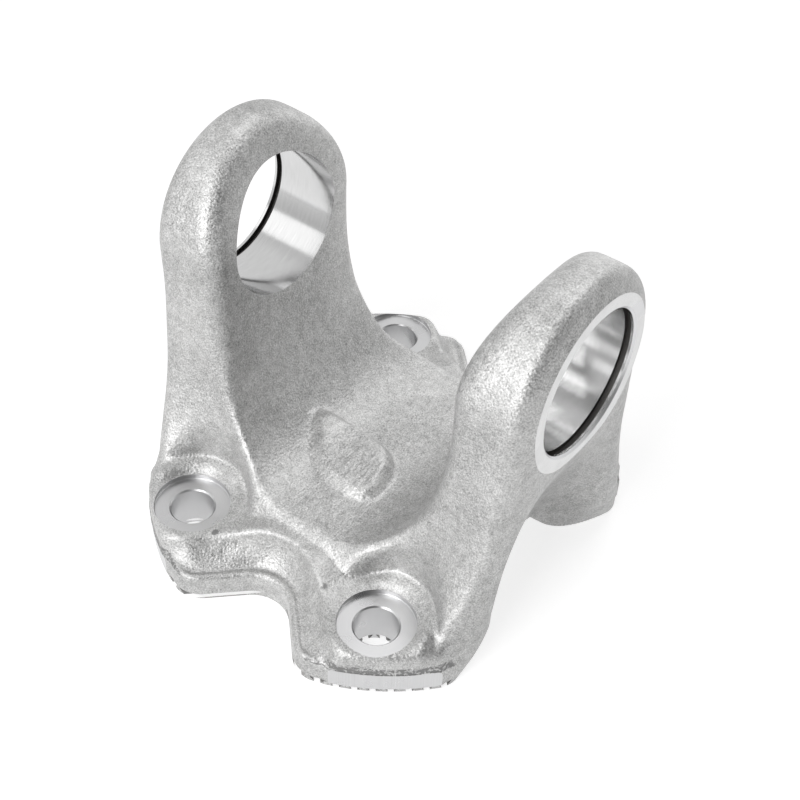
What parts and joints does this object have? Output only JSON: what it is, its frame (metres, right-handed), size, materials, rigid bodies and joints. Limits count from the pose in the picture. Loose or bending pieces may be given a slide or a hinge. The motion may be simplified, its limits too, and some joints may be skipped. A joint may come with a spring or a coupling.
{
  "type": "drive flange",
  "caption": "Forged drive flange with bored ears for a universal joint's cross and a lobed, cross-serrated bolting face.",
  "frame": {"origin": "centre of the mating face, in the plane of the tooth tips", "axes": "+X along the axis of the ear bores, +Z from the mating face to the ears"},
  "size_m": [0.1552, 0.1702, 0.1459],
  "materials": {
    "forged_steel": "satin"
  },
  "bodies": {
    "root": {"yoke": "forged_steel"}
  },
  "joints": []
}
